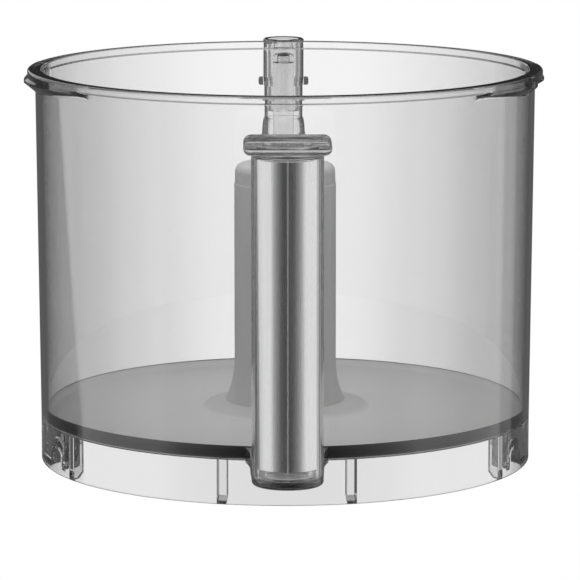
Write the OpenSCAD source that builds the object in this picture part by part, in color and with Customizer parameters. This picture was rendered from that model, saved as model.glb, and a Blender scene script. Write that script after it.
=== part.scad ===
// Clear work bowl of a food processor, with its handle and its lid interlock pushrod
// Origin: the bowl's axis at the plane the skirt stands on. +Z up, handle towards -Y.
// Units: mm

/* [Bowl] */
// Outside radius of the rim ring
rim_r = 103.2; // [100:0.1:106]
// Height of the rim's top face above the plane the bowl stands on
bowl_h = 158.4; // [150:0.1:170]
// Height of the rim ring
rim_h = 3.1; // [3:0.1:7]
// Outside radius of the wall just under the rim
wall_top_r = 100.1; // [98.6:0.1:101]
// Outside radius of the wall at the floor and of the skirt
skirt_r = 98.8; // [97:0.1:99]
// Thickness of the clear wall
wall_t = 2.6; // [2:0.1:4]
// Height of the skirt below the floor plate
skirt_h = 17.7; // [15:0.1:24]
// Thickness of the floor plate
floor_t = 2.5; // [2:0.1:4]
// Radius of the fillet where the floor meets the wall
fillet_r = 2.8; // [1.5:0.1:4]

/* [Centre tube] */
// Outside radius of the tube
tube_r = 20.5; // [18:0.1:24]
// Height of the tube's top above the standing plane
tube_top = 119.8; // [100:0.2:125]
// Wall thickness of the tube
tube_t = 2.5; // [2:0.1:4]
// Radius of the round opening in the tube's top
drive_r = 11; // [8:0.1:14]
// Radius at the foot of the flare
flare_r = 24.1; // [22:0.1:28]
// Height of the flare above the boss
flare_h = 17; // [8:0.5:25]
// Outside radius of the raised boss on the floor
boss_r = 34; // [30:0.5:40]
// Height of the raised boss
boss_h = 3.4; // [1:0.1:5]

/* [Skirt] */
// Thickness of a skirt rib
rib_t = 3.5; // [2:0.1:5]
// How far a skirt rib stands in from the wall
rib_in = 4.2; // [2:0.1:6]
// Thickness of a bayonet block, inwards from the wall
bayonet_in = 4.6; // [3:0.1:7]

/* [Handle] */
// Distance of the handle's axis from the bowl's axis
handle_y = 137; // [130:0.5:145]
// Outside radius of the clear handle tube
grip_r = 13.5; // [12:0.1:15]
// Wall thickness of the clear handle tube
grip_t = 2; // [1.5:0.1:2.1]
// Underside of the handle's bottom plug
grip_bottom = 16.9; // [12:0.1:22]
// Height of the handle tube's upper end
grip_top = 140.6; // [138:0.1:142]
// Outside radius of the metal sleeve
sleeve_r = 11.4; // [10:0.05:11.45]
// Width of the thumb rest across the handle
lip_w = 32.8; // [30:0.1:38]
// Depth of the thumb rest, front to back
lip_d = 27.4; // [24:0.1:30]
// Thickness of the thumb rest
lip_t = 5.2; // [4:0.1:8]

/* [Pushrod housing] */
// Distance of the housing's axis from the bowl's axis
rod_y = 110.5; // [110.2:0.1:113]
// Outside radius of the housing above the pegs
house_r = 8.65; // [8:0.05:9.2]
// Outside radius of the housing's lower part
house_low_r = 9.7; // [9.3:0.05:11]
// Height of the housing's lower end
house_bottom = 8; // [6:0.5:10]
// Height of the housing's upper end
house_top = 158.6; // [157:0.1:158.8]
// Radius of the housing's bore
bore_r = 6.9; // [6.5:0.05:7.1]
// Height of the two side pegs' axis
peg_z = 140.5; // [138:0.1:142]
// Radius of a side peg
peg_r = 1.8; // [1.2:0.1:2.2]
// Reach of a peg's end from the housing's axis
peg_reach = 10.75; // [10:0.05:11.5]

/* [Pushrod] */
// Travel of the pushrod, pressed down
rod_travel = 6.5; // [4:0.5:7]
// Radius of the pushrod in its upper guide
rod_r = 4.5; // [4.3:0.05:4.6]
// Radial clearance of the pushrod in its guides
run_gap = 0.08; // [0.04:0.01:0.1]
// Height of the pushrod's lower tip at rest
rod_tip_z = 7.5; // [7.2:0.1:9]
// Height of the pushrod cap's top at rest
rod_head_z = 152.5; // [148:0.5:156]
// Coils in the return spring
spring_turns = 8; // [6:1:10]
// Radius of the spring's wire
wire_r = 0.45; // [0.4:0.05:0.7]

/* [Hidden] */
floor_top = skirt_h + floor_t;
rim_z = bowl_h - rim_h;
wall_in_top = wall_top_r - wall_t;
wall_in_low = skirt_r - wall_t;
boss_top = floor_top + boss_h;
bore_tube_r = tube_r - tube_t;
plug_edge = 3;
plug_h = 3.2;
sleeve_t = 0.65;
sleeve_z = grip_bottom + 6.6;
sleeve_h = grip_top - 0.8 - sleeve_z;
spigot_r = sleeve_r - sleeve_t - 0.1;
lip_z = grip_top + 1.4 + lip_t / 2;
neck_z = 127;
neck_h = 13;
foot_z = 16.9;
foot_h = 5.8;
guide_low_z = 22;
guide_low_h = 8;
shaft_r = 3;
collar_z = 64;
collar_r = 6.3;
spring_z = guide_low_z + guide_low_h;
spring_top = collar_z;
spring_mid_r = 5.2;
clip_z = guide_low_z - 1;
$fn = 96;

// radius of the wall's outside at height z
function wall_r(z) = skirt_r + (wall_top_r - skirt_r) * (z - skirt_h) / (rim_z - skirt_h);

// points along an arc about [cx, cy]
function arc(cx, cy, r, a0, a1, n) =
    [for (i = [0 : n]) [cx + r * cos(a0 + (a1 - a0) * i / n), cy + r * sin(a0 + (a1 - a0) * i / n)]];

// a step of a lid lug under the rim, from the angle a0 to a1, deeper as w grows to 1
// and standing out of the rim by proud
module lug(a0, a1, w, proud = -0.05) {
    foot = rim_z - 1 - 4.9 * w;
    rotate([0, 0, a0]) rotate_extrude(angle = a1 - a0) polygon([
        [wall_r(foot) - 0.5, foot],
        [wall_r(foot), foot],
        [rim_r + proud, rim_z - 2.2 * w],
        [rim_r + proud, rim_z - 1.2 * w],
        [rim_r - 0.1, rim_z + 0.8],
        [wall_top_r - 0.5, rim_z + 0.8]
    ]);
}

// a tapered wall with the rim ring and the lid lugs under it
module bowl_wall() {
    color([0.86, 0.87, 0.87, 0.35]) {
        rotate_extrude() polygon([
            [skirt_r, skirt_h],
            [wall_r(rim_z - 0.5), rim_z - 0.5],
            [wall_top_r + 0.5, rim_z],
            [rim_r - 0.4, rim_z],
            [rim_r, rim_z + 0.4],
            [rim_r, bowl_h - 1.2],
            [rim_r - 0.35, bowl_h - 0.35],
            [rim_r - 1.2, bowl_h],
            [wall_in_top + 0.5, bowl_h],
            [wall_in_top, bowl_h - 0.5],
            [wall_in_top, bowl_h - 4.5],
            [wall_in_low, floor_top + fillet_r],
            [wall_in_low, skirt_h]
        ]);
        // left lid lug, a ramp that deepens away from the handle
        lug(166, 186, 1, 1.4);
        lug(185.9, 197, 0.75);
        lug(196.9, 208, 0.5);
        lug(207.9, 219, 0.25);
        // right lid lug, and the stop behind it
        lug(335, 346, 0.8);
        lug(326, 335.1, 0.5);
        lug(317.5, 326.1, 0.25);
        lug(352, 368, 0.45, 0.5);
    }
}

// the matt floor plate, filleted up to the wall, with the raised boss round the tube
module bowl_floor() {
    color([0.62, 0.63, 0.64]) rotate_extrude() polygon(concat(
        [[bore_tube_r, skirt_h], [wall_in_low, skirt_h], [wall_in_low, floor_top + fillet_r]],
        arc(wall_in_low - fillet_r, floor_top + fillet_r, fillet_r, 0, -90, 8),
        [[boss_r + 0.6, floor_top], [boss_r, floor_top + 0.5], [boss_r - 1.2, floor_top + 1.6]],
        [[flare_r + 3, boss_top - 0.5], [flare_r + 1, boss_top], [bore_tube_r, boss_top]]
    ));
}

// the frosted centre tube the drive comes up through
module centre_tube() {
    color([0.66, 0.67, 0.68]) rotate_extrude() polygon(concat(
        [[bore_tube_r, boss_top], [flare_r, boss_top]],
        [for (i = [1 : 10]) [
            tube_r + (flare_r - tube_r) * pow(1 - i / 10, 2.2),
            boss_top + flare_h * i / 10
        ]],
        [[tube_r, 111.6], [tube_r - 0.25, 112.2]],
        arc(tube_r - 3.6, tube_top - 3.2, 3.2, 0, 90, 8),
        [[drive_r + 0.6, tube_top], [drive_r, tube_top - 0.6], [drive_r, tube_top - 4]],
        [[bore_tube_r - 3, tube_top - 4], [bore_tube_r, tube_top - 7]]
    ));
}

// one rib, standing in from the skirt at the angle a from the handle
module skirt_rib(a) {
    rotate([0, 0, 270 + a]) translate([0, rib_t / 2, 0]) rotate([90, 0, 0])
        linear_extrude(height = rib_t) polygon([
            [wall_in_low + 0.4, 0.3],
            [wall_in_low + 0.4, skirt_h - 0.1],
            [wall_in_low - rib_in, skirt_h - 0.1],
            [wall_in_low - rib_in, 3],
            [wall_in_low - rib_in + 2.2, 0.3]
        ]);
}

// a piece of bayonet block, from the angle a0 over da degrees and up from z, with its faces
// stepped by e so that no two pieces share a face
module bayonet_piece(a0, da, z, e) {
    rotate([0, 0, a0]) rotate_extrude(angle = da) polygon([
        [wall_in_low + 0.4 + e, z],
        [wall_in_low + 0.4 + e, skirt_h - 0.1 - e],
        [wall_in_low - bayonet_in + e / 2, skirt_h - 0.1 - e],
        [wall_in_low - bayonet_in + e / 2, z + 1.6]
    ]);
}

// the thinner web over the notch between hook and block, on the side s
module bayonet_web(s) {
    rotate([0, 0, 270 + s * 69 - 4.2]) rotate_extrude(angle = 8.4) polygon([
        [wall_in_low + 0.6, 10],
        [wall_in_low + 0.6, skirt_h - 0.5],
        [wall_in_low - bayonet_in + 1.2, skirt_h - 0.5],
        [wall_in_low - bayonet_in + 1.2, 11.2]
    ]);
}

// one bayonet block inside the skirt, on the side s, with a notch between hook and block
module bayonet_block(s) {
    bayonet_web(s);
    bayonet_piece(270 + s * 64.3 - 1, 2, 2.6, 0.1);
    bayonet_piece(270 + s * 78.6 - 5.9, 11.8, 1.6, 0.2);
}

// the clear skirt below the floor, with its ribs and bayonet blocks
module base_skirt() {
    color([0.88, 0.89, 0.89, 0.35]) {
        difference() {
            cylinder(r = skirt_r, h = skirt_h);
            translate([0, 0, -1]) cylinder(r = wall_in_low, h = skirt_h + 2);
        }
        for (a = [15, 60, 105, 150]) {
            skirt_rib(a);
            skirt_rib(-a);
        }
        bayonet_block(1);
        bayonet_block(-1);
    }
}

// the clear handle tube, with the fine seam line down its front
module handle_shell() {
    color([0.86, 0.87, 0.87, 0.35]) translate([0, -handle_y, 0]) difference() {
        union() {
            translate([0, 0, grip_bottom + plug_h])
                cylinder(r = grip_r, h = grip_top - grip_bottom - plug_h);
            translate([-0.25, -grip_r - 0.15, grip_bottom + plug_h])
                cube([0.5, 1, grip_top - grip_bottom - plug_h]);
        }
        translate([0, 0, grip_bottom]) cylinder(r = grip_r - grip_t, h = grip_top);
    }
}

// the brushed metal sleeve inside the handle tube
module handle_sleeve() {
    color([0.62, 0.62, 0.63]) translate([0, -handle_y, sleeve_z]) difference() {
        union() {
            cylinder(r = sleeve_r - 0.25, h = sleeve_h);
            translate([0, 0, 0.4]) cylinder(r = sleeve_r, h = sleeve_h - 0.8);
        }
        translate([0, 0, -1]) cylinder(r = sleeve_r - sleeve_t, h = sleeve_h + 2);
    }
}

// the clear thumb rest that closes the handle's top
module handle_thumb_rest() {
    color([0.86, 0.87, 0.87, 0.35]) {
        translate([0, -handle_y, lip_z]) hull() {
            for (x = [-1, 1]) for (y = [-1, 1])
                translate([x * (lip_w - lip_t) / 2, y * (lip_d - lip_t) / 2, 0])
                    sphere(r = lip_t / 2, $fn = 40);
        }
        translate([0, -handle_y, grip_top]) cylinder(r = grip_r - 0.6, h = 3);
        translate([0, -handle_y, grip_top - 4]) cylinder(r = spigot_r, h = 5.4);
    }
}

// the clear plug that closes the handle's lower end
module handle_end_plug() {
    color([0.8, 0.81, 0.82, 0.35]) translate([0, -handle_y, grip_bottom])
        rotate_extrude() polygon(concat(
            [[0, 0]],
            arc(grip_r - plug_edge, plug_edge, plug_edge, -90, 0, 8),
            [[grip_r, plug_h], [spigot_r, plug_h]],
            [[spigot_r, 7.6], [spigot_r - 0.5, 8.1]],
            [[spigot_r - 2.1, 8.1], [spigot_r - 2.1, plug_h], [0, plug_h]]
        ));
}

// half width of a bracket at the distance t from the wall, on a span of d
function waist(t, d, w_wall, w_mid, w_grip) = t < d / 2
    ? w_mid + (w_wall - w_mid) * pow(1 - 2 * t / d, 2)
    : w_mid + (w_grip - w_mid) * pow(2 * t / d - 1, 2);

// a waisted bracket from the wall to the handle tube
module bracket(z, h, w_wall, w_mid, w_grip) {
    d = handle_y - 8 - 94;
    side = [for (i = [0 : 16]) [waist(d * i / 16, d, w_wall, w_mid, w_grip), -94 - d * i / 16]];
    difference() {
        translate([0, 0, z]) linear_extrude(height = h) polygon(concat(
            side,
            [for (i = [16 : -1 : 0]) [-side[i][0], side[i][1]]]
        ));
        rotate_extrude($fn = 480) polygon([
            [0, -1],
            [skirt_r, -1],
            [skirt_r, skirt_h],
            [wall_r(rim_z - 1), rim_z - 1],
            [0, rim_z - 1]
        ]);
        translate([0, -handle_y, -1]) cylinder(r = grip_r, h = 160);
    }
}

// the clear upper bracket, hidden behind the thumb rest
module handle_neck() {
    color([0.86, 0.87, 0.87, 0.35]) bracket(neck_z, neck_h, 12, 8, 10);
}

// the clear lower bracket, at the level of the floor
module handle_foot() {
    color([0.84, 0.85, 0.86, 0.35]) {
        bracket(foot_z, foot_h, 17, 14, 13.3);
    }
}

// the clear tube on the back of the bowl, with its two side pegs
module pushrod_housing() {
    color([0.84, 0.85, 0.86, 0.35]) difference() {
        union() {
            translate([0, rod_y, 0]) rotate_extrude() polygon(concat(
                [[0, house_bottom], [house_low_r - 0.5, house_bottom], [house_low_r, house_bottom + 0.5]],
                [[house_low_r, 117]],
                [for (i = [1 : 8]) [
                    house_low_r - 0.4 - (house_low_r - 0.4 - house_r + 0.4) * (1 - cos(90 * i / 8)),
                    117 + 8 * sin(90 * i / 8)
                ]],
                [[house_r - 0.4, peg_z - peg_r], [house_r, peg_z], [house_r, house_top - 0.5]],
                [[house_r - 0.5, house_top], [0, house_top]]
            ));
            translate([0, rod_y, peg_z]) rotate([0, 90, 0]) {
                translate([0, 0, -peg_reach]) cylinder(r = peg_r - 0.4, h = 2 * peg_reach);
                translate([0, 0, 0.4 - peg_reach]) cylinder(r = peg_r, h = 2 * peg_reach - 0.8);
            }
        }
        translate([0, rod_y, house_bottom - 1]) cylinder(r = bore_r, h = bowl_h);
        // room for the bowl's wall and rim
        rotate_extrude($fn = 480) polygon([
            [0, 0],
            [skirt_r, 0],
            [skirt_r, skirt_h],
            [wall_r(rim_z - 0.5), rim_z - 0.5],
            [wall_top_r + 0.5, rim_z],
            [rim_r - 0.4, rim_z],
            [rim_r, rim_z + 0.4],
            [rim_r, bowl_h + 1],
            [0, bowl_h + 1]
        ]);
    }
}

// the clear web that ties the housing to the wall
module housing_web() {
    color([0.86, 0.87, 0.87, 0.35]) difference() {
        translate([-7, 94, 21]) cube([14, rod_y - 94, 93]);
        translate([0, rod_y, 0]) cylinder(r = house_low_r, h = 160);
        rotate_extrude($fn = 480) polygon([
            [0, 0],
            [skirt_r, 0],
            [skirt_r, skirt_h],
            [wall_r(rim_z - 1), rim_z - 1],
            [0, rim_z - 1]
        ]);
    }
}

// the bush that guides the pushrod's head
module upper_guide() {
    color([0.75, 0.76, 0.77]) translate([0, rod_y, 0]) rotate_extrude() polygon([
        [rod_r + run_gap, 128.4],
        [rod_r + run_gap + 0.4, 128],
        [bore_r - 0.05, 128],
        [bore_r - 0.05, 157.8],
        [rod_r + run_gap + 0.5, 157.8],
        [rod_r + run_gap, 157.3]
    ]);
}

// the bush that carries the spring and guides the rod's shaft
module lower_guide() {
    color([0.32, 0.33, 0.34]) translate([0, rod_y, 0]) rotate_extrude() polygon([
        [shaft_r + run_gap, guide_low_z],
        [bore_r - 0.05, guide_low_z],
        [bore_r - 0.05, guide_low_z + guide_low_h],
        [shaft_r + run_gap, guide_low_z + guide_low_h]
    ]);
}

// the rod the lid presses down, with the collar the spring lifts it by
module pushrod() {
    color([0.9, 0.9, 0.9]) translate([0, rod_y, 0]) rotate_extrude() polygon(concat(
        [[0, rod_tip_z]],
        arc(shaft_r - 1.2, rod_tip_z + 1.2, 1.2, -90, 0, 6),
        [[shaft_r, clip_z], [shaft_r - 0.6, clip_z], [shaft_r - 0.6, clip_z + 1]],
        [[shaft_r, clip_z + 1], [shaft_r, collar_z], [collar_r, collar_z]],
        [[collar_r, collar_z + 2.2], [rod_r, collar_z + 4], [rod_r, rod_head_z - 4]],
        [[2, rod_head_z - 4], [2, rod_head_z - 1.5], [0, rod_head_z - 1.5]]
    ));
}

// the domed cap on the pushrod's head
module pushrod_cap() {
    color([0.92, 0.92, 0.92]) translate([0, rod_y, 0]) rotate_extrude() polygon([
        [2, rod_head_z - 4],
        [rod_r, rod_head_z - 4],
        [rod_r, rod_head_z - 1.2],
        [rod_r - 0.5, rod_head_z - 0.5],
        [rod_r - 1.6, rod_head_z - 0.1],
        [rod_r - 3, rod_head_z],
        [0, rod_head_z],
        [0, rod_head_z - 1.5],
        [2, rod_head_z - 1.5]
    ]);
}

// the coil that returns the pushrod, drawn as a swept circle
module pushrod_spring() {
    pitch = (spring_top - spring_z - 2 * wire_r) / spring_turns;
    span = 360 * wire_r / pitch;
    steps = 2;
    color([0.7, 0.7, 0.72]) translate([0, rod_y, spring_z + wire_r])
        linear_extrude(height = spring_top - spring_z - 2 * wire_r,
            twist = -360 * spring_turns, slices = spring_turns * 16, $fn = 6)
            polygon(concat(
                [for (i = [-steps : steps])
                    (spring_mid_r + wire_r * sqrt(max(0.02, 1 - pow(i / steps, 2))))
                        * [cos(span * i / steps), sin(span * i / steps)]],
                [for (i = [steps : -1 : -steps])
                    (spring_mid_r - wire_r * sqrt(max(0.02, 1 - pow(i / steps, 2))))
                        * [cos(span * i / steps), sin(span * i / steps)]]
            ));
}

// the clip that stops the rod against the lower guide
module retaining_clip() {
    color([0.6, 0.6, 0.62]) translate([0, rod_y, clip_z]) difference() {
        cylinder(r = 5, h = 0.9);
        translate([0, 0, -1]) cylinder(r = shaft_r - 0.6, h = 3);
        translate([-1.7, 0, -1]) cube([3.4, 8, 3]);
    }
}

bowl_wall();
bowl_floor();
centre_tube();
base_skirt();
handle_shell();
handle_sleeve();
handle_thumb_rest();
handle_end_plug();
handle_neck();
handle_foot();
pushrod_housing();
housing_web();
upper_guide();
lower_guide();
pushrod();
pushrod_cap();
pushrod_spring();
retaining_clip();
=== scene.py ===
"""Looks for a food processor's clear work bowl: mouldings, matt floor, brushed handle, studio."""

import math

import bmesh
import bpy
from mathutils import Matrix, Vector


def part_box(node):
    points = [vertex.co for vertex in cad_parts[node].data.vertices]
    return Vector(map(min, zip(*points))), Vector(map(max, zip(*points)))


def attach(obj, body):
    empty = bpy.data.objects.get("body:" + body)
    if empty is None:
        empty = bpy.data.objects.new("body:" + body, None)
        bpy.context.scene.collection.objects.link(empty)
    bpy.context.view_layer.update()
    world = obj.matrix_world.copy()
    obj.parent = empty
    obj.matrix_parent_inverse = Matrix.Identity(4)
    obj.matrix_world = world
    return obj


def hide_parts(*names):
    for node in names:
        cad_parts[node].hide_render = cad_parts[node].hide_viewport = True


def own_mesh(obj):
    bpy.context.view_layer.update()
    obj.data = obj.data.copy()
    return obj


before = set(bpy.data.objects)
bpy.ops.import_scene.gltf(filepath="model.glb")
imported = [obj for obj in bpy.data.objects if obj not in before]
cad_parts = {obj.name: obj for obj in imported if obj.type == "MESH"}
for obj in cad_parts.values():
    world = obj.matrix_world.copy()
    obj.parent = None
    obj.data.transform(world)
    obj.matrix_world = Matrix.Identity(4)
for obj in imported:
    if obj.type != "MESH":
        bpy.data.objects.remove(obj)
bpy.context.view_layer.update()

MM = 0.001
scene = bpy.context.scene


# ---------------------------------------------------------------- sizes, mm, from the CAD nodes


def extent(node):
    """the lowest and highest corner of a CAD node, in mm"""
    low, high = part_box(node)
    return low / MM, high / MM


wall_low, wall_high = extent("bowl_wall")
_, tube_high = extent("centre_tube")
_, skirt_high = extent("base_skirt")
grip_low, grip_high = extent("handle_shell")
sleeve_low, sleeve_high = extent("handle_sleeve")
rest_low, rest_high = extent("handle_thumb_rest")
plug_low, plug_high = extent("handle_end_plug")
spring_low, spring_high = extent("pushrod_spring")

HANDLE_AT = 270  # the handle's direction, degrees from +X
GAP = 0.03  # air between two pieces that touch
WALL_T = 2.6
RIM_H = 3.1  # the rim ring's height
RIM_R = 103.2
LUG_R = -wall_low.x  # how far the left lug's tip reaches
TOP = wall_high.z
RIM_Z = TOP - RIM_H
SKIRT_R = skirt_high.x
SKIRT_IN = SKIRT_R - WALL_T
SKIRT_H = skirt_high.z
WALL_TOP_R = 100.1  # outside radius right under the rim
FLOOR_Z = SKIRT_H + 2.5
FILLET = 2.8  # radius where the floor turns up to the wall
BOSS_R = 34.0
BOSS_Z = FLOOR_Z + 3.4
TUBE_R = 20.5
TUBE_IN = 18.0
FLARE_R = 24.1
FLARE_H = 17.0
DRIVE_R = 11.0  # the opening in the centre tube's top
GRIP_Y = (rest_low.y + rest_high.y) / 2
GRIP_R = grip_high.x
GRIP_T = 2.0
SLEEVE_R = sleeve_high.x
SLEEVE_T = 0.65
HOUSE_Y = (spring_low.y + spring_high.y) / 2


# ---------------------------------------------------------------- mesh building


CORNER_SHARE = 0.42  # the most of an edge that one corner takes
CORNER_MIN = 0.08  # mm of edge that a corner takes at least
CORNER_STEPS = 4
SUPPORT = 0.4  # mm from a corner's end to the point that keeps the flat beside it flat


def rounded(corners, closed=True):
    """an outline through corners (x, y, radius), each turned with its radius"""
    out = []
    count = len(corners)
    for i, (x, y, radius) in enumerate(corners):
        if radius <= 0 or (not closed and i in (0, count - 1)):
            out.append((x, y))
            continue
        here = Vector((x, y))
        back = Vector(corners[i - 1][:2]) - here
        ahead = Vector(corners[(i + 1) % count][:2]) - here
        half = back.angle(ahead) / 2
        room = CORNER_SHARE * min(back.length, ahead.length)
        cut = min(max(radius / math.tan(half), CORNER_MIN), room)
        extra = min(SUPPORT, 0.3 * (room - cut) + 0.01)
        start = here + back.normalized() * cut
        end = here + ahead.normalized() * cut
        out.append(tuple(start + back.normalized() * extra))
        turn = math.pi - 2 * half
        for k in range(CORNER_STEPS + 1):
            t = k / CORNER_STEPS
            if turn < 0.03:  # radians, all but straight
                out.append(tuple(start.lerp(end, t)))
                continue
            centre = here + (back.normalized() + ahead.normalized()).normalized() * (
                cut / math.cos(half)
            )
            a, b = start - centre, end - centre
            arm = (a * math.sin((1 - t) * turn) + b * math.sin(t * turn)) / math.sin(turn)
            out.append(tuple(centre + arm))
        out.append(tuple(end + ahead.normalized() * extra))
    return out


def build(name, verts, faces, sharp=40):
    """a new mesh object from points in mm"""
    mesh = bpy.data.meshes.new(name)
    mesh.from_pydata([Vector(v) * MM for v in verts], [], faces)
    mesh.validate()
    obj = bpy.data.objects.new(name, mesh)
    scene.collection.objects.link(obj)
    tidy_normals(obj, sharp)
    return obj


def tidy_normals(obj, sharp=40):
    """faces outwards, smooth shading with edges sharper than the angle kept"""
    bm = bmesh.new()
    bm.from_mesh(obj.data)
    bmesh.ops.recalc_face_normals(bm, faces=bm.faces)
    bm.to_mesh(obj.data)
    bm.free()
    for face in obj.data.polygons:
        face.use_smooth = True
    obj.data.set_sharp_from_angle(angle=math.radians(sharp))


def ring(name, section, angles, centre=(0, 0), sharp=40):
    """a closed ring: section(angle) gives the closed outline (radius, height) at that angle"""
    verts, faces = [], []
    count = len(angles)
    for a in angles:
        outline = section(a)
        size = len(outline)
        c, s = math.cos(math.radians(a)), math.sin(math.radians(a))
        verts += [(centre[0] + r * c, centre[1] + r * s, z) for r, z in outline]
    for i in range(count):
        j = (i + 1) % count
        for k in range(size):
            m = (k + 1) % size
            faces.append((i * size + k, j * size + k, j * size + m, i * size + m))
    return build(name, verts, faces, sharp)


def lathe(name, outline, segments=96, centre=(0, 0), sharp=40):
    """a solid of revolution: the outline starts and ends on the axis"""
    verts, faces = [], []
    poles = (outline[0], outline[-1])
    inner = outline[1:-1]
    size = len(inner)
    for i in range(segments):
        a = 2 * math.pi * i / segments
        verts += [(centre[0] + r * math.cos(a), centre[1] + r * math.sin(a), z) for r, z in inner]
    verts += [(centre[0], centre[1], z) for r, z in poles]
    first, last = len(verts) - 2, len(verts) - 1
    for i in range(segments):
        j = (i + 1) % segments
        for k in range(size - 1):
            faces.append((i * size + k, j * size + k, j * size + k + 1, i * size + k + 1))
        faces.append((first, j * size, i * size))
        faces.append((last, i * size + size - 1, j * size + size - 1))
    return build(name, verts, faces, sharp)


def even(count):
    """that many angles, evenly round the circle"""
    return [360 * i / count for i in range(count)]


def smooth(t):
    """0 to 1 with soft ends"""
    t = min(1, max(0, t))
    return t * t * (3 - 2 * t)


def smooth_band(distance, half, side):
    """1 within half of the middle, 0 outside it, over a side of that width"""
    return smooth((half - abs(distance)) / side + 0.5)


def along(a, at, radius):
    """how far the angle a lies round a circle from the angle at, in mm"""
    return math.radians((a - at + 180) % 360 - 180) * radius


def join(obj, other):
    """obj made one with another object, which is used up"""
    modifier = obj.modifiers.new("join", "BOOLEAN")
    modifier.operation = "UNION"
    modifier.object = other
    modifier.solver = "EXACT"
    graph = bpy.context.evaluated_depsgraph_get()
    mesh = bpy.data.meshes.new_from_object(obj.evaluated_get(graph))
    obj.modifiers.clear()
    obj.data = mesh
    bpy.data.objects.remove(other)
    tidy_normals(obj)


def place(obj, node, material):
    """obj stands for a CAD node of the bowl, with its material"""
    obj.data.materials.clear()
    obj.data.materials.append(material)
    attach(obj, "bowl")
    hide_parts(node)


# ---------------------------------------------------------------- materials


class Graph:
    """short calls for building a node tree"""

    def __init__(self, tree, keep=False):
        self.tree = tree
        if not keep:
            tree.nodes.clear()

    def node(self, kind, **settings):
        made = self.tree.nodes.new(kind)
        for key, value in settings.items():
            setattr(made, key, value)
        return made

    def feed(self, socket, value):
        """links a socket, or sets a plain value"""
        if isinstance(value, bpy.types.NodeSocket):
            self.tree.links.new(value, socket)
        else:
            socket.default_value = value

    def math(self, operation, a, b=0.0):
        made = self.node("ShaderNodeMath", operation=operation)
        self.feed(made.inputs[0], a)
        self.feed(made.inputs[1], b)
        return made.outputs[0]

    def both(self, first, *others):
        """masks multiplied together"""
        for other in others:
            first = self.math("MULTIPLY", first, other)
        return first

    def over(self, value, limit):
        return self.math("GREATER_THAN", value, limit)

    def steps(self, value, low, high, out_low=0.0, out_high=1.0, straight=False):
        """maps value from low..high to out_low..out_high, with soft ends unless straight"""
        kind = "LINEAR" if straight else "SMOOTHSTEP"
        made = self.node("ShaderNodeMapRange", interpolation_type=kind)
        for socket, x in zip(made.inputs, (value, low, high, out_low, out_high)):
            self.feed(socket, x)
        return made.outputs[0]

    def mix(self, factor, a, b, blend="MIX"):
        made = self.node("ShaderNodeMix", data_type="RGBA", blend_type=blend)
        self.feed(made.inputs[0], factor)
        self.feed(made.inputs[6], a)
        self.feed(made.inputs[7], b)
        return made.outputs[2]

    def darken(self, colour, by):
        """a colour multiplied by a tone"""
        return self.mix(1.0, colour, by, "MULTIPLY")

    def ramp(self, value, stops):
        """colours from stops (place, tone), or (place, (red, green, blue))"""
        made = self.node("ShaderNodeValToRGB")
        self.feed(made.inputs[0], value)
        elements = made.color_ramp.elements
        while len(elements) < len(stops):
            elements.new(0.5)
        for element, (at, tone) in zip(elements, stops):
            element.position = at
            element.color = (*tone, 1) if isinstance(tone, tuple) else grey(tone)
        return made.outputs[0]

    def place(self):
        """the object's own coordinates x, y, z, in metres"""
        coords = self.node("ShaderNodeTexCoord")
        split = self.node("ShaderNodeSeparateXYZ")
        self.feed(split.inputs[0], coords.outputs["Object"])
        return split.outputs

    def radius(self):
        """distance from the bowl's axis, in metres"""
        x, y, _ = self.place()
        squares = self.math("ADD", self.math("MULTIPLY", x, x), self.math("MULTIPLY", y, y))
        return self.math("SQRT", squares)

    def bump(self, shader, height, strength, depth):
        made = self.node("ShaderNodeBump")
        made.inputs["Strength"].default_value = strength
        made.inputs["Distance"].default_value = depth
        self.feed(made.inputs["Height"], height)
        self.feed(shader.inputs["Normal"], made.outputs[0])

    def noise(self, scale, detail=3, stretch=(1, 1, 1)):
        """noise over the object's own coordinates, scale per metre"""
        coords = self.node("ShaderNodeTexCoord")
        mapping = self.node("ShaderNodeMapping")
        mapping.inputs["Scale"].default_value = stretch
        self.feed(mapping.inputs[0], coords.outputs["Object"])
        made = self.node("ShaderNodeTexNoise")
        self.feed(made.inputs["Vector"], mapping.outputs[0])
        made.inputs["Scale"].default_value = scale
        made.inputs["Detail"].default_value = detail
        return made.outputs["Fac"]


def grey(tone):
    return (tone, tone, tone, 1)


def material(name):
    """a new material with its graph and its Principled shader"""
    made = bpy.data.materials.new(name)
    made.use_nodes = True
    graph = Graph(made.node_tree)
    shader = graph.node("ShaderNodeBsdfPrincipled")
    out = graph.node("ShaderNodeOutputMaterial")
    graph.feed(out.inputs["Surface"], shader.outputs[0])
    return made, graph, shader


SEAM_CLEAR = 0.82  # how much light the frosted seam still lets through


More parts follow.
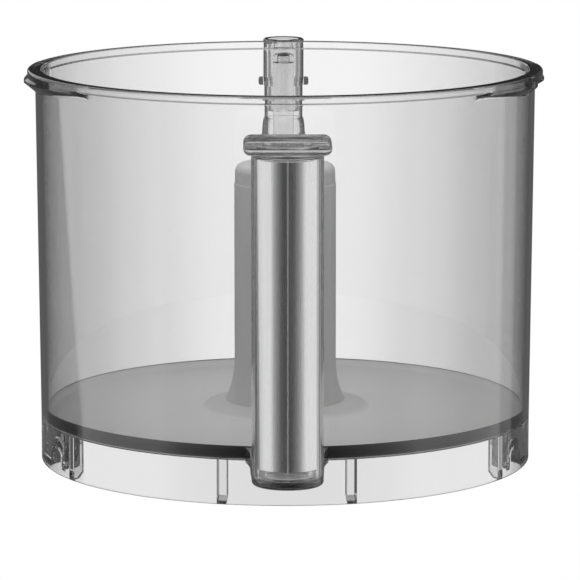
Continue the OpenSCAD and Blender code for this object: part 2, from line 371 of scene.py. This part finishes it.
def clear_plastic(name, tone=0.99, facing=None, rough=(0.004, 0.02), ior=1.57, smoke=3.0,
                  seam=None):
    """clear moulded plastic: faint flow marks in the gloss, and where facing stops are given,
    painted shade that makes it darker where it is seen edge on

    facing are stops (angle, tone) for that painted shade by viewing angle, else the plastic's own
    faint tone varies at random; seam is the half width in mm of a frosted line down the front
    """
    made, graph, shader = material(name)
    shader.inputs["Transmission Weight"].default_value = 1
    shader.inputs["IOR"].default_value = ior
    flow = graph.noise(60, 4, (1, 1, 0.35))
    graph.feed(shader.inputs["Roughness"], graph.steps(flow, 0.35, 0.7, *rough))
    if facing:
        # painted shade: darker the more edge on the surface is seen
        weight = graph.node("ShaderNodeLayerWeight")
        weight.inputs["Blend"].default_value = 0.5
        tone_and_shade = graph.ramp(weight.outputs["Facing"], facing)
    else:
        tone_and_shade = graph.ramp(graph.noise(25, 2), [(0.3, tone * 0.99), (0.7, tone)])
    graph.feed(shader.inputs["Base Color"], tone_and_shade)
    if seam:
        x, y, _ = graph.place()
        line = graph.steps(graph.math("ABSOLUTE", x), seam * MM, seam * 0.6 * MM)
        front = graph.math("LESS_THAN", y, (GRIP_Y - GRIP_R + 0.4) * MM)
        clear = graph.steps(graph.both(line, front), 0, 1, 1.0, SEAM_CLEAR)
        graph.feed(shader.inputs["Transmission Weight"], clear)
    graph.bump(shader, graph.noise(90, 2, (1, 1, 0.5)), 0.02, 0.0002)
    inside = graph.node("ShaderNodeVolumeAbsorption")
    inside.inputs["Color"].default_value = grey(0.5)
    inside.inputs["Density"].default_value = 2 * smoke
    ending = next(n for n in graph.tree.nodes if n.type == "OUTPUT_MATERIAL")
    graph.feed(ending.inputs["Volume"], inside.outputs[0])
    return made


def matt_plastic(name, tone, rough):
    """plain moulded plastic with a fine grain"""
    made, graph, shader = material(name)
    fine = graph.noise(1800, 3)
    stops = [(0.3, tone * 0.95), (0.7, tone * 1.05)]
    graph.feed(shader.inputs["Base Color"], graph.ramp(fine, stops))
    graph.feed(shader.inputs["Roughness"], graph.steps(fine, 0.3, 0.7, rough - 0.06, rough + 0.06))
    graph.bump(shader, fine, 0.4, 0.00003)
    return made


def floor_plastic():
    """matt on its upper face, with painted shade over the boss and its slope, and painted
    near-black shade on its edge where the wall takes it up
    """
    made, graph, shader = material("floor_plastic")
    radius = graph.radius()
    fine = graph.noise(2200, 3)
    broad = graph.noise(18, 2)
    top = graph.mix(
        graph.steps(broad, 0.35, 0.65),
        graph.ramp(fine, [(0.3, 0.79), (0.7, 0.85)]),
        graph.ramp(fine, [(0.3, 0.81), (0.7, 0.87)]),
    )
    # painted shade: the boss and its slope darker than the floor round it
    boss = graph.steps(radius, (BOSS_R - 2.2) * MM, (BOSS_R + 0.2) * MM, 0.84, 1.0)
    top = graph.darken(top, boss)
    # painted near-black shade on the floor's outer edge face, darkest a little above its foot
    edge = graph.steps(radius, (SKIRT_IN - 0.1) * MM, (SKIRT_IN - 0.06) * MM)
    dark = graph.ramp(
        graph.steps(graph.place()[2], SKIRT_H * MM, (FLOOR_Z + FILLET) * MM),
        [(0.0, 0.05), (0.25, 0.012), (0.7, 0.016), (1.0, 0.05)],
    )
    graph.feed(shader.inputs["Base Color"], graph.mix(edge, top, dark))
    graph.feed(shader.inputs["Roughness"], graph.steps(fine, 0.3, 0.7, 0.42, 0.56))
    graph.bump(shader, fine, 0.35, 0.00003)
    return made


def reopen(made):
    """the graph, the Principled shader and the base colour of a finished material"""
    graph = Graph(made.node_tree, keep=True)
    shader = next(n for n in graph.tree.nodes if n.type == "BSDF_PRINCIPLED")
    return graph, shader, shader.inputs["Base Color"].links[0].from_socket


def by_height(graph, stops):
    """a tone that follows the height, from stops (height in mm, tone)"""
    low, high = stops[0][0], stops[-1][0]
    share = graph.steps(graph.place()[2], low * MM, high * MM, straight=True)
    return graph.ramp(share, [((at - low) / (high - low), tone) for at, tone in stops])


def wall_plastic():
    """the wall's painted shade by viewing angle, a painted shadow line under the rim and a painted
    dark reflection on its flat top, and painted shade where a lug backs the rim
    """
    made = clear_plastic("wall_plastic", facing=WALL_EDGE_SHADE)
    graph, shader, base = reopen(made)
    _, y, z = graph.place()
    radius = graph.radius()
    # 1 on the handle's side of the bowl, -1 at the back, 0 at both sides
    toward = graph.math("DIVIDE", graph.math("MULTIPLY", y, -1.0), radius)
    # painted shade by height, full at the front and fainter at the back
    rim_shade = graph.mix(
        graph.steps(toward, -0.1, 0.1), by_height(graph, BACK_RIM_SHADE), by_height(graph, FRONT_RIM_SHADE)
    )
    # painted shade on the rim where a lug stands behind it
    lug = graph.both(
        graph.steps(toward, 0.66, 0.6),
        graph.steps(toward, -0.3, -0.2),
        graph.steps(z, 151.0 * MM, 153.0 * MM),
        graph.steps(z, 158.2 * MM, 157.6 * MM),
        graph.steps(radius, 100.6 * MM, 101.2 * MM),
    )
    shade = graph.steps(lug, 0.0, 1.0, 1.0, LUG_SHADE)
    tone_and_shade = graph.darken(graph.darken(base, rim_shade), shade)
    graph.feed(shader.inputs["Base Color"], tone_and_shade)
    return made


def housing_plastic():
    """clear, with painted shade on the two solid side pegs and a painted dark band round its top"""
    made = clear_plastic("housing_plastic", tone=0.95, smoke=10.0)
    graph, shader, base = reopen(made)
    x, _, z = graph.place()
    # painted shade on the two side pegs, and a painted dark band round the top
    peg = graph.both(
        graph.steps(graph.math("ABSOLUTE", x), 8.5 * MM, 9.0 * MM),
        graph.steps(z, 135 * MM, 136 * MM),
    )
    shade = graph.darken(by_height(graph, HOUSING_TOP_SHADE), graph.steps(peg, 0.0, 1.0, 1.0, PEG_SHADE))
    graph.feed(shader.inputs["Base Color"], graph.darken(base, shade))
    return made


def skirt_plastic():
    """clear and grey, the grey partly the plastic's own smoke and partly a painted shadow of the
    bowl on the floor seen through it; the ribs darker, partly for their thickness and partly
    painted shade, and above all the bayonet blocks, with painted shade
    """
    # the grey of tone 0.8: partly the plastic's own smoke, partly a painted shadow of the bowl
    made = clear_plastic("skirt_plastic", tone=0.8)
    graph, shader, smoke_and_shadow = reopen(made)
    radius = graph.radius()
    sideways = graph.math("DIVIDE", graph.math("ABSOLUTE", graph.place()[0]), radius)
    block = graph.steps(sideways, *BLOCK_SINE)
    deep = graph.steps(radius, (SKIRT_IN - 0.2) * MM, (SKIRT_IN - 1.0) * MM)
    # the ribs darker partly for their thickness, partly painted shade; the bayonet blocks dark with
    # painted shade
    solid = graph.mix(block, grey(RIB_SMOKE_AND_SHADE), grey(BLOCK_SHADE))
    graph.feed(shader.inputs["Base Color"], graph.mix(deep, smoke_and_shadow, solid))
    return made


def brushed_metal():
    """a drawn sleeve, brushed along its length"""
    made, graph, shader = material("brushed_metal")
    shader.inputs["Metallic"].default_value = 1
    streak = graph.noise(900, 4, (1, 1, 0.012))
    graph.feed(
        shader.inputs["Base Color"],
        graph.ramp(streak, [(0.3, (0.86, 0.86, 0.865)), (0.7, (0.96, 0.96, 0.965))]),
    )
    graph.feed(shader.inputs["Roughness"], graph.steps(streak, 0.3, 0.7, 0.2, 0.3))
    graph.bump(shader, streak, 0.15, 0.00002)
    return made


def spring_steel():
    """drawn steel wire, with a faint grain"""
    made, graph, shader = material("spring_steel")
    shader.inputs["Metallic"].default_value = 1
    fine = graph.noise(2500, 3)
    graph.feed(
        shader.inputs["Base Color"],
        graph.ramp(fine, [(0.3, (0.5, 0.5, 0.51)), (0.7, (0.62, 0.62, 0.63))]),
    )
    graph.feed(shader.inputs["Roughness"], graph.steps(fine, 0.3, 0.7, 0.22, 0.34))
    return made


# the wall's painted shade by viewing angle: stops (0 seen face on to 1 seen edge on, tone)
WALL_EDGE_SHADE = [(0.0, 1.0), (0.024, 0.985), (0.06, 0.935), (0.1, 0.85), (0.14, 0.76),
               (0.2, 0.725), (0.26, 0.705), (0.34, 0.65), (0.45, 0.61), (0.6, 0.62), (1.0, 0.6)]
# painted shade that follows the height, in mm: a painted shadow line under the rim and a painted
# dark reflection on its flat top, both fainter at the back
FRONT_RIM_SHADE = [(154.9, 1.0), (155.2, 0.2), (155.42, 0.2), (155.65, 1.0), (158.22, 1.0),
               (158.37, 0.03), (158.4, 0.03)]
BACK_RIM_SHADE = [(155.0, 1.0), (155.2, 0.8), (155.6, 0.8), (155.8, 1.0), (158.22, 1.0),
              (158.37, 0.25), (158.4, 0.25)]
# a painted dark band round the housing's top, by height in mm
HOUSING_TOP_SHADE = [(158.1, 1.0), (158.3, 0.3), (158.6, 0.3)]
# the handle foot's painted shade by viewing angle, stops as for the wall
FOOT_EDGE_SHADE = [(0.0, 0.95), (0.3, 0.8), (0.55, 0.4), (0.8, 0.15), (1.0, 0.1)]
# painted shade where a lug backs the rim
LUG_SHADE = 0.12
# painted shade on the housing's two side pegs
PEG_SHADE = 0.12
# the ribs' tone: partly their thicker plastic, partly painted shade
RIB_SMOKE_AND_SHADE = 0.7
# painted shade on the bayonet blocks
BLOCK_SHADE = 0.16
BLOCK_SINE = (0.886, 0.891)  # where the blocks begin: the sine of the angle from the handle

wall_look = wall_plastic()
skirt_look = skirt_plastic()
handle_look = clear_plastic("handle_plastic", tone=0.97, smoke=7.0, seam=0.22)
housing_look = housing_plastic()
guide_look = clear_plastic("guide_plastic", tone=0.98, rough=(0.05, 0.1), smoke=3.0)
rod_clear_look = clear_plastic(
    "rod_clear_plastic", tone=0.98, rough=(0.02, 0.06), ior=1.3, smoke=3.0
)
foot_look = clear_plastic("foot_plastic", facing=FOOT_EDGE_SHADE, smoke=12.0)
plug_look = clear_plastic("plug_plastic", tone=0.74, smoke=3.0)
rest_look = clear_plastic("rest_plastic", tone=0.9, rough=(0.08, 0.12), smoke=12.0)
floor_look = floor_plastic()
tube_look = matt_plastic("frosted_plastic", 0.55, rough=0.42)
sleeve_look = brushed_metal()
dark_look = matt_plastic("dark_plastic", 0.06, rough=0.35)
steel_look = spring_steel()


# ---------------------------------------------------------------- bowl wall, rim and lugs


def wall_r(z):
    """outside radius of the wall at that height"""
    return SKIRT_R + (WALL_TOP_R - SKIRT_R) * (z - SKIRT_H) / (RIM_Z - SKIRT_H)


PROUD = LUG_R - RIM_R  # how far the proudest lug stands out of the rim
# each lug: its angles from and to, how deep it is at both (0 to 1), how far it stands out of the
# rim at both (0 to 1), and over how many degrees its ends round off
LUGS = (
    (166.0, 184.0, 1.0, 1.0, 1.0, 1.0, 1.5, 0.0),
    (184.0, 221.0, 1.0, 0.05, 1.0, -1.5, 0.0, 5.0),
    (316.0, 346.0, 0.05, 0.85, 0.0, 0.0, 5.0, 1.0),
    (352.0, 368.0, 0.45, 0.45, 0.36, 0.36, 1.0, 1.0),
)


def lug_at(a):
    """how deep a lug is at that angle, how proud, and its share against the plain rim"""
    for start, end, deep_a, deep_b, out_a, out_b, soft_a, soft_b in LUGS:
        turn = (a - start) % 360
        if turn <= end - start:
            t = turn / (end - start)
            rise = smooth(turn / soft_a) if soft_a else 1
            fall = smooth((end - start - turn) / soft_b) if soft_b else 1
            deep = deep_a + (deep_b - deep_a) * t
            return deep, max(0, out_a + (out_b - out_a) * t), rise * fall
    return 0.2, 0.0, 0.0


def wall_outline(foot, low, high, root, edge):
    """the closed outline of wall and rim, with the five corners that a lug moves"""
    inner_top = WALL_TOP_R - WALL_T
    return rounded([
        (SKIRT_R, SKIRT_H + GAP, 0.15),
        foot, low, high, root, edge,
        (RIM_R, TOP, 1.3),
        (inner_top, TOP, 0.6),
        (inner_top, TOP - 4.5, 3.0),
        (SKIRT_IN, FLOOR_Z + FILLET, 3.0),
        (SKIRT_IN, SKIRT_H + GAP, 0.15),
    ])


plain_outline = wall_outline(
    *((wall_r(z), z, 0.3) for z in (152.4, 153.4, 154.2)),
    (WALL_TOP_R + 0.05, RIM_Z, 0.5),
    (RIM_R, RIM_Z, 0.25),
)


def lug_outline(deep, out):
    """the same outline where a lug is that deep and that proud"""
    foot = RIM_Z - 1 - 4.9 * deep
    tip = RIM_R + PROUD * out
    return wall_outline(
        (wall_r(foot), foot, 1.0),
        (tip, RIM_Z - 2.2 * deep, 0.35),
        (tip, RIM_Z - 1.2 * deep + 0.1, 0.3),
        (RIM_R + 0.2 * out, RIM_Z + 0.3, 0.25),
        (RIM_R, RIM_Z + 1.0, 0.3),
    )


def wall_section(a):
    """the wall's outline at the angle a from +X"""
    deep, out, share = lug_at(a)
    if share == 0:
        return plain_outline
    return [
        (p[0] + share * (q[0] - p[0]), p[1] + share * (q[1] - p[1]))
        for p, q in zip(plain_outline, lug_outline(deep, out))
    ]


wall_angles = set(even(300))
for start, end, *_, soft_start, soft_end in LUGS:
    for k in range(9):
        wall_angles |= {(start + soft_start * k / 8) % 360, (end - soft_end * k / 8) % 360}
wall = ring("bowl_wall_clear", wall_section, sorted(wall_angles))
place(wall, "bowl_wall", wall_look)


# ---------------------------------------------------------------- floor and centre tube

floor_r = SKIRT_IN - 0.05
fillet_x = floor_r - FILLET
floor_outline = (
    [(TUBE_IN, SKIRT_H + 0.1), (floor_r - 0.3, SKIRT_H + 0.1), (floor_r, SKIRT_H + 0.4)]
    + [(floor_r, FLOOR_Z + FILLET - 0.4), (floor_r, FLOOR_Z + FILLET)]
    + [
        (fillet_x + FILLET * math.cos(t), FLOOR_Z + FILLET - FILLET * math.sin(t))
        for t in [math.pi / 2 * k / 10 for k in range(1, 11)]
    ]
    + rounded(
        [
            (fillet_x - 0.5, FLOOR_Z, 0),
            (BOSS_R, FLOOR_Z, 0.9),
            (BOSS_R - 1.8, FLOOR_Z + 1.9, 1.4),
            (FLARE_R + 2.6, BOSS_Z - 0.35, 1.5),
            (FLARE_R + 0.4, BOSS_Z, 0),
        ],
        closed=False,
    )
    + [(TUBE_IN, BOSS_Z)]
)
floor_plate = ring("bowl_floor_matt", lambda a: floor_outline, even(288), sharp=50)
place(floor_plate, "bowl_floor", floor_look)

flare = [
    (TUBE_R + (FLARE_R - TUBE_R) * (1 - k / 14) ** 2.2, BOSS_Z + FLARE_H * k / 14)
    for k in range(15)
]
tube_outline = rounded(
    [(TUBE_IN, BOSS_Z + GAP, 0), (FLARE_R, BOSS_Z + GAP, 0)]
    + [(r, z, 0) for r, z in flare[1:]]
    + [
        (TUBE_R, tube_high.z - 8.2, 0.3),
        (TUBE_R - 0.25, tube_high.z - 7.6, 0.3),
        (TUBE_R - 0.4, tube_high.z, 3.2),
        (DRIVE_R, tube_high.z, 0.6),
        (DRIVE_R, tube_high.z - 4, 0.4),
        (TUBE_IN - 3, tube_high.z - 4, 1.0),
        (TUBE_IN, tube_high.z - 7, 1.5),
    ]
)
tube = ring("centre_tube_frosted", lambda a: tube_outline, even(144), sharp=50)
place(tube, "centre_tube", tube_look)


# ---------------------------------------------------------------- skirt, ribs, bayonet blocks

RIB_AT = (15, 60, 105, 150)  # degrees from the handle, to each side
RIB_T = 3.5
RIB_IN = 4.2  # how far a rib stands in
SIDE = 0.35  # width over which a rib's side rises, mm
# a bayonet block's hook and block: degrees from the handle, half their width in degrees, and the
# height of their foot in mm
BLOCKS = ((64.3, 1.0, 2.6), (78.6, 5.9, 1.6))
BLOCK_IN = 4.6
BLOCK_CHAMFER = 2.1
# the thinner web between them, over an arched notch
WEB_AT = 69.0
WEB_HALF = 4.2
WEB_IN = 3.4
NOTCH_HALF = 6.2
NOTCH_Z = 7.5
NOTCH_RISE = 3.7


def rib_depth(a, z, at):
    """how far a rib stands in at the angle a from the handle and the height z"""
    share = smooth_band(along(a, at, SKIRT_IN), RIB_T / 2, SIDE)
    foot = RIB_IN - 2.2 * max(0, 1 - (z - 0.3) / 2.7)
    return share * max(0, foot) * smooth((z - 0.1) / 0.5)


def block_depth(a, z, at, half, low, deep):
    """how far one part of a bayonet block stands in, chamfered at its foot"""
    share = smooth_band(along(a, at, SKIRT_IN), math.radians(half) * SKIRT_IN, SIDE)
    return share * deep * smooth((z - low) / BLOCK_CHAMFER)


def skirt_depth(a, z):
    """how far the skirt's inner face stands in there, a from the handle"""
    depths = []
    for side in (-1, 1):
        depths += [rib_depth(a, z, side * at) for at in RIB_AT]
        depths += [block_depth(a, z, side * at, half, low, BLOCK_IN) for at, half, low in BLOCKS]
        notch = along(a, side * WEB_AT, SKIRT_IN) / NOTCH_HALF
        arch = NOTCH_Z + NOTCH_RISE * math.sqrt(max(0, 1 - notch ** 2))
        depths.append(block_depth(a, z, side * WEB_AT, WEB_HALF, arch, WEB_IN))
    return max(depths)


skirt_heights = [0.1, 0.2, 0.3, 0.5, 0.8, 1.1, 1.5, 2, 2.5, 3, 3.5, 4, 4.6, 5.3]
skirt_heights += [6, 7, 8, 8.6, 9.2, 9.8, 10.4, 11, 11.6, 12.2, 12.8, 13.6, 15, 17]


skirt_foot = rounded(
    [(SKIRT_R, SKIRT_H - GAP, 0), (SKIRT_R, 0, 0.7), (SKIRT_IN, 0, 0)], closed=False
)[1:-1]
skirt_outer = [(SKIRT_R, SKIRT_H - GAP), (SKIRT_R, SKIRT_H - 0.4)] + skirt_foot
skirt_lip = [(SKIRT_IN + 0.5, 0), (SKIRT_IN + 0.1, 0.03)]


def skirt_section(a):
    """inner face with ribs and blocks at the angle a from +X, then the plain outer face"""
    rise = [(SKIRT_IN - skirt_depth(a - HANDLE_AT, z), z) for z in skirt_heights]
    return skirt_lip + rise + [(rise[-1][0], SKIRT_H - GAP)] + skirt_outer


# more points round the skirt where a side rises, and within the notch
skirt_edges = [(at, RIB_T / 2) for at in RIB_AT]
skirt_edges += [(at, math.radians(half) * SKIRT_IN) for at, half, _ in BLOCKS]
skirt_edges += [(WEB_AT, 2.5), (WEB_AT, 5.0)]
skirt_angles = set(even(240))
for side in (-1, 1):
    for at, half in skirt_edges:
        for end in (-half, half):
            skirt_angles |= {
                (HANDLE_AT + side * at + math.degrees((end + step) / SKIRT_IN)) % 360
                for step in (-0.6, -0.3, -0.15, 0, 0.15, 0.3, 0.6)
            }
skirt = ring("base_skirt_clear", skirt_section, sorted(skirt_angles), sharp=45)
place(skirt, "base_skirt", skirt_look)


# ---------------------------------------------------------------- handle

SEAM_HALF = 0.25
SEAM_SIDE = 0.2
SEAM_OUT = 0.15


def shell_section(a):
    """the handle tube's outline, a hair prouder along the seam at the front"""
    out = GRIP_R + SEAM_OUT * smooth_band(along(a, HANDLE_AT, GRIP_R), SEAM_HALF, SEAM_SIDE)
    return rounded([
        (out, grip_low.z + GAP, 0.15),
        (out, grip_high.z, 0.4),
        (GRIP_R - GRIP_T, grip_high.z, 0.3),
        (GRIP_R - GRIP_T, grip_low.z + GAP, 0.15),
    ])


shell_angles = sorted(
    set(even(120)) | {HANDLE_AT + math.degrees(x / 10 / GRIP_R) for x in range(-5, 6)}
)
shell = ring("handle_tube_clear", shell_section, shell_angles, (0, GRIP_Y))
place(shell, "handle_shell", handle_look)

sleeve_outline = rounded([
    (SLEEVE_R, sleeve_low.z, 0.3),
    (SLEEVE_R, sleeve_high.z, 0.45),
    (SLEEVE_R - SLEEVE_T, sleeve_high.z, 0.1),
    (SLEEVE_R - SLEEVE_T, sleeve_low.z, 0.1),
])
sleeve = ring("handle_sleeve_metal", lambda a: sleeve_outline, even(120), (0, GRIP_Y))
place(sleeve, "handle_sleeve", sleeve_look)

SPIGOT_R = SLEEVE_R - SLEEVE_T - 0.1
SPIGOT_T = 2.1
plug_seat = grip_low.z
plug_outline = rounded(
    [
        (0, plug_low.z, 0),
        (GRIP_R, plug_low.z, 3.0),
        (GRIP_R, plug_seat - GAP, 0.15),
        (SPIGOT_R, plug_seat - GAP, 0.15),
        (SPIGOT_R, plug_high.z, 0.5),
        (SPIGOT_R - SPIGOT_T, plug_high.z, 0.3),
        (SPIGOT_R - SPIGOT_T, plug_seat, 0.8),
        (0, plug_seat, 0),
    ],
    closed=False,
)
plug = lathe("handle_end_plug_clear", plug_outline, 96, (0, GRIP_Y))
place(plug, "handle_end_plug", plug_look)


def slab(name, half_x, half_y, z_mid, edge, centre):
    """a flat slab with fully rounded edges"""
    verts, faces = [], []
    rows, corner = 16, 10
    turn = 1.2  # radius of the slab's four corners on top of its edge, seen from above
    for i in range(rows + 1):
        tilt = -math.pi / 2 + math.pi * i / rows
        grow, z = edge * math.cos(tilt), z_mid + edge * math.sin(tilt)
        for quarter in range(4):
            for k in range(corner + 1):
                a = math.pi / 2 * (quarter + k / corner)
                sx = 1 if quarter in (0, 3) else -1
                sy = 1 if quarter in (0, 1) else -1
                verts.append((
                    centre[0] + sx * (half_x - edge - turn) + (grow + turn) * math.cos(a),
                    centre[1] + sy * (half_y - edge - turn) + (grow + turn) * math.sin(a),
                    z,
                ))
    size = 4 * (corner + 1)
    for i in range(rows):
        for k in range(size):
            m = (k + 1) % size
            faces.append((i * size + k, i * size + m, (i + 1) * size + m, (i + 1) * size + k))
    faces.append(tuple(reversed(range(size))))
    faces.append(tuple(rows * size + k for k in range(size)))
    return build(name, verts, faces)


LIP_T = 5.2
lip_z = rest_high.z - LIP_T / 2
thumb_rest = slab(
    "handle_thumb_rest_clear", rest_high.x, (rest_high.y - rest_low.y) / 2, lip_z, LIP_T / 2,
    (0, GRIP_Y),
)
collar_outline = rounded(
    [
        (0, rest_low.z, 0),
        (SPIGOT_R, rest_low.z, 0.4),
        (SPIGOT_R, grip_high.z + GAP, 0.05),
        (GRIP_R - 0.6, grip_high.z + GAP, 0.3),
        (GRIP_R - 0.6, lip_z, 0),
        (0, lip_z, 0),
    ],
    closed=False,
)
collar = lathe("collar", collar_outline, 96, (0, GRIP_Y))
join(thumb_rest, collar)
place(thumb_rest, "handle_thumb_rest", rest_look)


# ---------------------------------------------------------------- pushrod's return spring

SPRING_TURNS = 8
WIRE_R = 0.45
SPRING_R = 5.2


def coil(name, turns, radius, wire, z_low, z_high, centre, around=10, per_turn=36):
    """a compression spring coiled from round wire, with both wire ends capped"""
    verts, faces = [], []
    count = turns * per_turn
    rise = z_high - z_low - 2 * wire
    for i in range(count + 1):
        t = i / count
        a = 2 * math.pi * turns * t
        c, s = math.cos(a), math.sin(a)
        z = z_low + wire + rise * (t + 0.018 * math.sin(2 * math.pi * t))
        for k in range(around):
            b = 2 * math.pi * k / around
            r = radius + wire * math.cos(b)
            verts.append((centre[0] + r * c, centre[1] + r * s, z + wire * math.sin(b)))
    for i in range(count):
        for k in range(around):
            m = (k + 1) % around
            faces.append(
                (i * around + k, i * around + m, (i + 1) * around + m, (i + 1) * around + k)
            )
    faces.append(tuple(reversed(range(around))))
    faces.append(tuple(count * around + k for k in range(around)))
    return build(name, verts, faces)


spring = coil(
    "pushrod_spring_coil", SPRING_TURNS, SPRING_R, WIRE_R, spring_low.z, spring_high.z,
    (0, HOUSE_Y),
)
place(spring, "pushrod_spring", steel_look)
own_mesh(spring)


# ---------------------------------------------------------------- CAD nodes kept as they are

for node, look in (
    ("handle_neck", handle_look),
    ("handle_foot", foot_look),
    ("pushrod_housing", housing_look),
    ("housing_web", wall_look),
    ("upper_guide", guide_look),
    ("lower_guide", dark_look),
    ("pushrod", rod_clear_look),
    ("pushrod_cap", rod_clear_look),
    ("retaining_clip", steel_look),
):
    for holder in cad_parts[node].material_slots:
        holder.material = look


# ---------------------------------------------------------------- studio


def white_card():
    """the pale floor: white to look at, open to reflections, soft to the matt parts"""
    made = bpy.data.materials.new("studio_floor")
    made.use_nodes = True
    graph = Graph(made.node_tree)
    path = graph.node("ShaderNodeLightPath")
    glow = graph.node("ShaderNodeEmission")
    dimmed = graph.over(path.outputs["Diffuse Depth"], 0.5)
    graph.feed(glow.inputs["Strength"], graph.steps(dimmed, 0, 1, 1.0, 0.5))
    opening = graph.node("ShaderNodeBsdfTransparent")
    pick = graph.node("ShaderNodeMixShader")
    graph.feed(pick.inputs[0], graph.over(path.outputs["Glossy Depth"], 0.5))
    graph.feed(pick.inputs[1], glow.outputs[0])
    graph.feed(pick.inputs[2], opening.outputs[0])
    out = graph.node("ShaderNodeOutputMaterial")
    graph.feed(out.inputs["Surface"], pick.outputs[0])
    return made


FLOOR_HALF = 8.0  # metres
floor_mesh = bpy.data.meshes.new("studio_floor")
floor_mesh.from_pydata(
    [(x * FLOOR_HALF, y * FLOOR_HALF, -0.0004) for x, y in ((-1, -1), (1, -1), (1, 1), (-1, 1))],
    [],
    [(0, 1, 2, 3)],
)
studio_floor = bpy.data.objects.new("studio_floor", floor_mesh)
scene.collection.objects.link(studio_floor)
floor_mesh.materials.append(white_card())


# tones that reflections see round the bowl: 0.5 is straight behind it, 0 and 1 are at the camera
CARDS = [
    (0.0, 0.06), (0.0556, 0.08), (0.097, 0.22), (0.139, 0.42), (0.172, 0.9), (0.5, 0.9),
    (0.505, 0.12), (0.628, 0.12), (0.633, 0.42), (0.662, 0.42), (0.668, 0.9), (0.819, 0.9),
    (0.861, 0.42), (0.903, 0.22), (0.944, 0.08), (1.0, 0.06),
]
LEFT_CARD = 0.12
BACK_CARD = 0.04


def studio_world():
    """white backdrop, soft light for matt parts, and dark and light cards for reflections"""
    world = bpy.data.worlds.new("studio")
    scene.world = world
    world.use_nodes = True
    world.cycles.sampling_method = "NONE"
    graph = Graph(world.node_tree)
    coords = graph.node("ShaderNodeTexCoord")
    split = graph.node("ShaderNodeSeparateXYZ")
    graph.feed(split.inputs[0], coords.outputs["Generated"])
    x, y, z = split.outputs
    path = graph.node("ShaderNodeLightPath")

    azimuth = graph.math("ARCTAN2", x, y)  # from +Y, positive towards +X
    turn = graph.math("ADD", graph.math("DIVIDE", azimuth, 2 * math.pi), 0.5)
    elevation = graph.math("DEGREES", graph.math("ARCSINE", z))
    cards = graph.ramp(turn, CARDS)
    # the left card's far edge leans: it is further round at lower heights
    left_edge = graph.math("SUBTRACT", 26.6, graph.math("MULTIPLY", elevation, 3.6))
    from_back = graph.math("MULTIPLY", graph.math("DEGREES", azimuth), -1.0)
    left = graph.both(
        graph.over(from_back, 0.0),
        graph.steps(graph.math("SUBTRACT", left_edge, from_back), -1.5, 1.5),
    )
    cards = graph.mix(left, cards, grey(LEFT_CARD))
    # a dark card straight behind, which the rim's flat top reflects
    straight = graph.both(
        graph.steps(graph.math("ABSOLUTE", from_back), 10.0, 6.0),
        graph.steps(elevation, 3.5, 5.0),
        graph.steps(elevation, 10.5, 9.0),
    )
    cards = graph.mix(straight, cards, grey(BACK_CARD))
    # white overhead, dim below
    cards = graph.mix(graph.steps(elevation, 15.0, 35.0), cards, grey(1.0))
    cards = graph.mix(graph.steps(elevation, -20.0, -40.0), cards, grey(0.2))

    ambient = graph.ramp(
        graph.math("ADD", graph.math("MULTIPLY", z, 0.5), 0.5),
        [(0.0, 0.5), (0.5, 0.7), (0.8, 1.1), (1.0, 1.2)],
    )
    glossy = graph.over(path.outputs["Glossy Depth"], 0.5)
    diffuse = graph.over(path.outputs["Diffuse Depth"], 0.5)
    tone = graph.mix(glossy, grey(1.0), cards)
    tone = graph.mix(diffuse, tone, ambient)
    background = graph.node("ShaderNodeBackground")
    graph.feed(background.inputs["Color"], tone)
    out = graph.node("ShaderNodeOutputWorld")
    graph.feed(out.inputs["Surface"], background.outputs[0])


studio_world()

scene.view_settings.view_transform = "Standard"
scene.cycles.use_denoising = True
scene.cycles.max_bounces = 32
scene.cycles.transmission_bounces = 32
scene.cycles.glossy_bounces = 12
scene.cycles.diffuse_bounces = 3
scene.cycles.transparent_max_bounces = 16


# ---------------------------------------------------------------- camera

CAMERA_FAR = 1.671  # metres from the bowl's axis
CAMERA_UP = 0.343  # metres above the standing plane
CAMERA_TURN = math.radians(0.38)
PITCH = 0.1632  # radians that it looks down
SIDE_AIM = 0.00117  # radians that it looks past the bowl's axis

lens = bpy.data.cameras.new("camera")
lens.sensor_width = 36
lens.lens = 260.007
lens.clip_end = 50
camera = bpy.data.objects.new("camera", lens)
scene.collection.objects.link(camera)
camera.location = (
    -CAMERA_FAR * math.sin(CAMERA_TURN),
    -CAMERA_FAR * math.cos(CAMERA_TURN),
    CAMERA_UP,
)
camera.rotation_euler = (math.pi / 2 - PITCH, 0, -(CAMERA_TURN + SIDE_AIM))
scene.camera = camera
